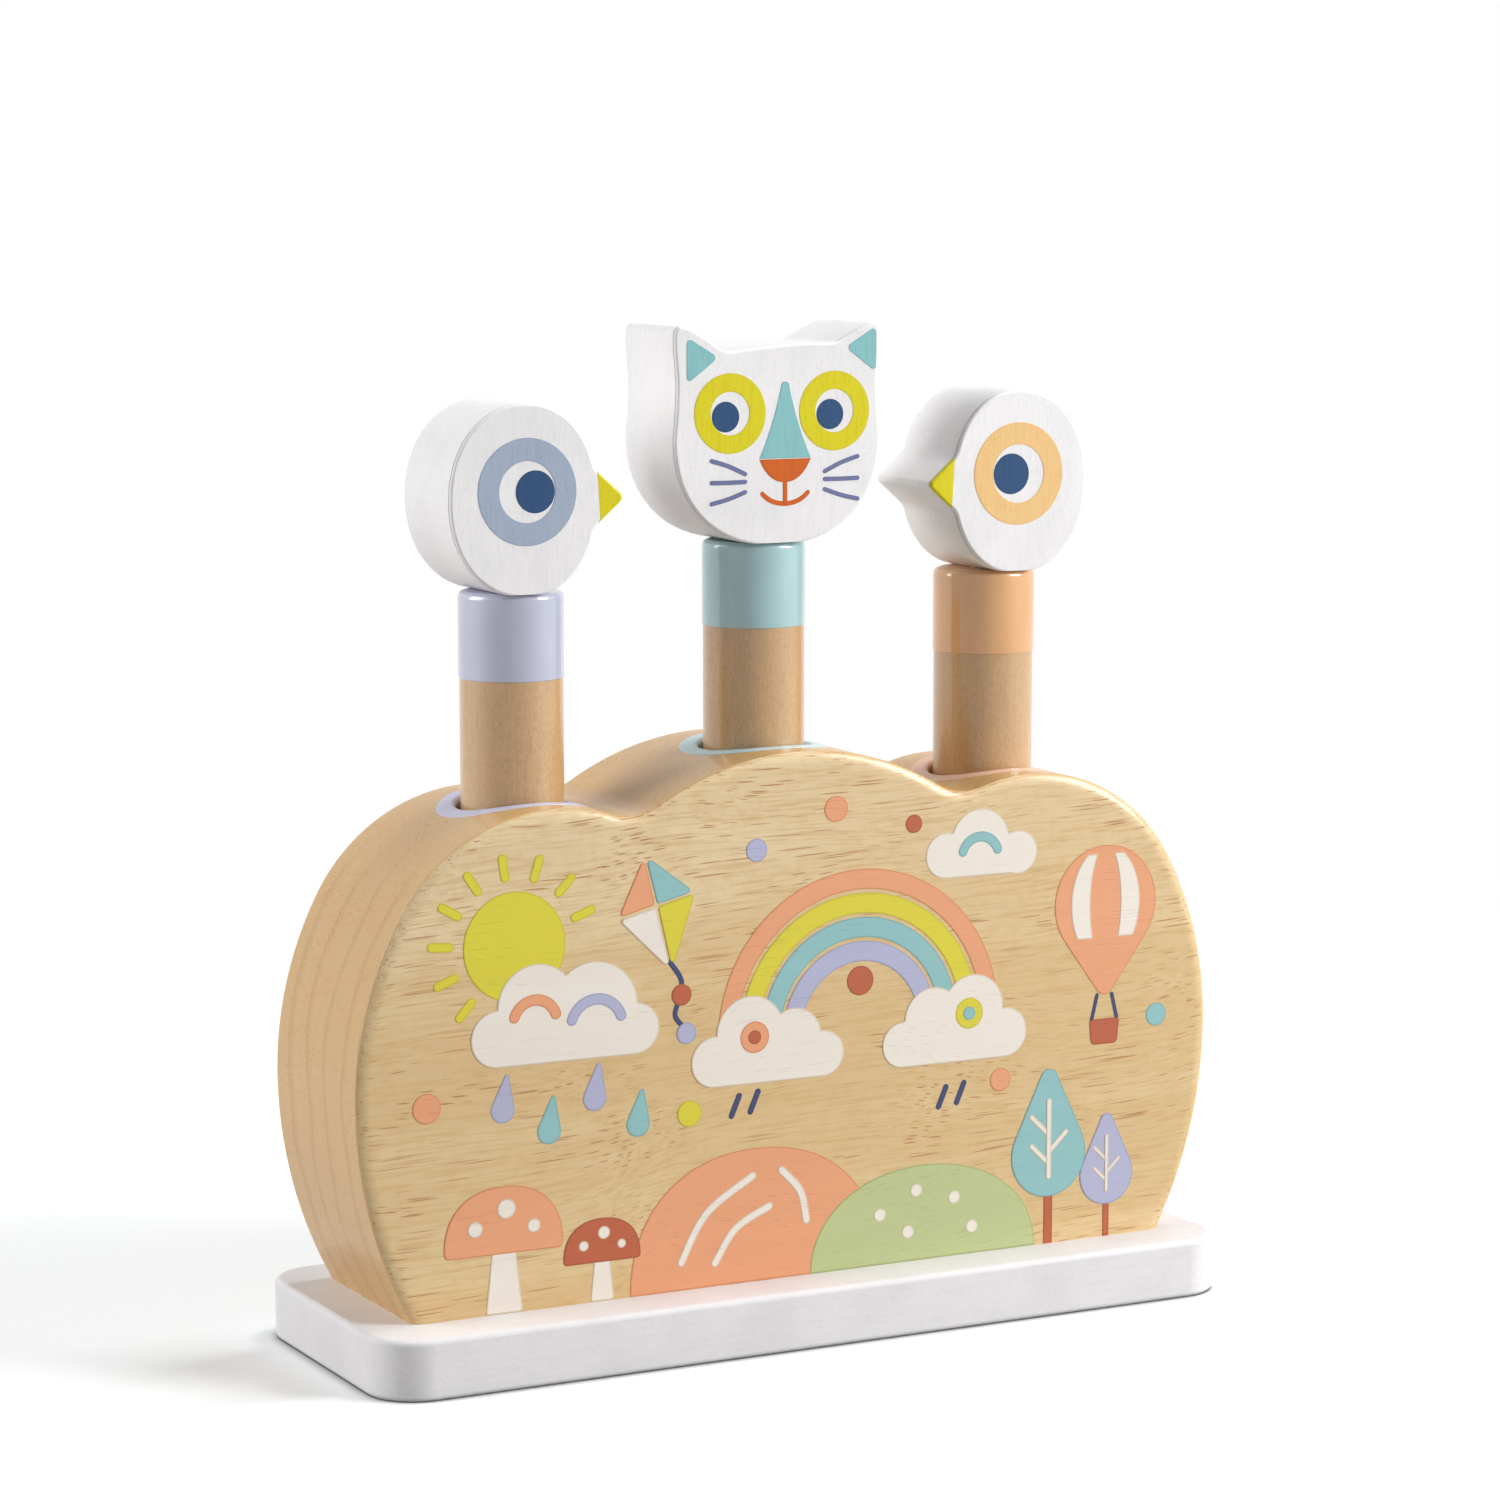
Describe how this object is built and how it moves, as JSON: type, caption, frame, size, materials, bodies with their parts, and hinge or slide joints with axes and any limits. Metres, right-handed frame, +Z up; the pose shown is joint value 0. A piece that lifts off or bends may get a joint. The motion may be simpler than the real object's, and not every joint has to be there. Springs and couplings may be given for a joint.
{
  "type": "pop up animal toy",
  "caption": "Wooden pop up toy: a cloud-shaped block on a board, with sprung round pegs that carry flat animal heads and can be pressed, turned and lifted out.",
  "frame": {"origin": "centre of the board's underside, where it rests", "axes": "+X along the front to the right, +Y to the back, +Z up; the printed front faces -Y"},
  "size_m": [0.2046, 0.07, 0.2152],
  "materials": {
    "block_wood": "clear satin varnish",
    "peg_wood": "sanded, uncoated",
    "pin_wood": "uncoated",
    "board_white": "matt white paint",
    "head_white": "matt white paint",
    "lilac_lacquer": "gloss lacquer film",
    "turquoise_lacquer": "gloss lacquer film",
    "peach_lacquer": "gloss lacquer film",
    "lilac_ring": "satin paint film",
    "blue_ring": "satin paint film",
    "peach_ring": "satin paint film",
    "grey_blue_ink": "matt ink film",
    "peach_ink": "matt ink film",
    "lime_ink": "matt ink film",
    "turquoise_ink": "matt ink film",
    "navy_ink": "matt ink film",
    "orange_ink": "matt ink film",
    "violet_ink": "matt ink film",
    "spring_steel": "bright drawn wire",
    "screw_zinc": "zinc plated",
    "cup_plastic": "moulded"
  },
  "bodies": {
    "toy_base": {"base_board": "board_white", "cloud_block": "block_wood", "board_screw_1": "screw_zinc", "board_screw_2": "screw_zinc", "board_screw_3": "screw_zinc", "board_screw_4": "screw_zinc", "left_mouth_ring": "lilac_ring", "left_spring_seat": "cup_plastic", "left_seat_screw": "screw_zinc", "centre_mouth_ring": "blue_ring", "centre_spring_seat": "cup_plastic", "centre_seat_screw": "screw_zinc", "right_mouth_ring": "peach_ring", "right_spring_seat": "cup_plastic", "right_seat_screw": "screw_zinc"},
    "left_spring_body": {"left_spring": "spring_steel"},
    "left_cap_body": {"left_spring_cap": "cup_plastic"},
    "left_peg_body": {"left_peg": "peg_wood", "left_peg_band": "lilac_lacquer", "left_neck_pin": "pin_wood", "left_bird_head": "head_white", "left_bird_eye_ring": "grey_blue_ink", "left_bird_pupil": "navy_ink", "left_bird_beak_print": "lime_ink"},
    "centre_spring_body": {"centre_spring": "spring_steel"},
    "centre_cap_body": {"centre_spring_cap": "cup_plastic"},
    "centre_peg_body": {"centre_peg": "peg_wood", "centre_peg_band": "turquoise_lacquer", "centre_neck_pin": "pin_wood", "centre_cat_head": "head_white", "cat_nose_bridge": "turquoise_ink", "cat_nose_and_mouth": "orange_ink", "cat_left_eye_ring": "lime_ink", "cat_left_pupil": "navy_ink", "cat_left_ear_patch": "turquoise_ink", "cat_left_whisker_1": "violet_ink", "cat_left_whisker_2": "violet_ink", "cat_left_whisker_3": "violet_ink", "cat_right_eye_ring": "lime_ink", "cat_right_pupil": "navy_ink", "cat_right_ear_patch": "turquoise_ink", "cat_right_whisker_1": "violet_ink", "cat_right_whisker_2": "violet_ink", "cat_right_whisker_3": "violet_ink"},
    "right_spring_body": {"right_spring": "spring_steel"},
    "right_cap_body": {"right_spring_cap": "cup_plastic"},
    "right_peg_body": {"right_peg": "peg_wood", "right_peg_band": "peach_lacquer", "right_neck_pin": "pin_wood", "right_bird_head": "head_white", "right_bird_eye_ring": "peach_ink", "right_bird_pupil": "navy_ink", "right_bird_beak_print": "lime_ink"}
  },
  "joints": [
    {"name": "left_spin", "type": "hinge", "parent": "toy_base", "child": "left_spring_body", "pos_m": [-0.057, 0, 0.0239], "axis": [0, 0, 1], "continuous": true},
    {"name": "left_pop", "type": "slide", "parent": "left_spring_body", "child": "left_cap_body", "axis": [0, 0, 1], "range_m": [-0.03, 0.003], "stiffness_N_per_m": 150, "springref_m": 0.00251, "deforming": ["left_spring"]},
    {"name": "left_lift", "type": "slide", "parent": "left_cap_body", "child": "left_peg_body", "axis": [0, 0, 1], "range_m": [0, 0.064]},
    {"name": "centre_spin", "type": "hinge", "parent": "toy_base", "child": "centre_spring_body", "pos_m": [0, 0, 0.0323], "axis": [0, 0, 1], "continuous": true},
    {"name": "centre_pop", "type": "slide", "parent": "centre_spring_body", "child": "centre_cap_body", "axis": [0, 0, 1], "range_m": [-0.03, 0.003], "stiffness_N_per_m": 150, "springref_m": 0.00325, "deforming": ["centre_spring"]},
    {"name": "centre_lift", "type": "slide", "parent": "centre_cap_body", "child": "centre_peg_body", "axis": [0, 0, 1], "range_m": [0, 0.064]},
    {"name": "right_spin", "type": "hinge", "parent": "toy_base", "child": "right_spring_body", "pos_m": [0.057, 0, 0.0239], "axis": [0, 0, 1], "continuous": true},
    {"name": "right_pop", "type": "slide", "parent": "right_spring_body", "child": "right_cap_body", "axis": [0, 0, 1], "range_m": [-0.03, 0.003], "stiffness_N_per_m": 150, "springref_m": 0.00251, "deforming": ["right_spring"]},
    {"name": "right_lift", "type": "slide", "parent": "right_cap_body", "child": "right_peg_body", "axis": [0, 0, 1], "range_m": [0, 0.064]}
  ]
}
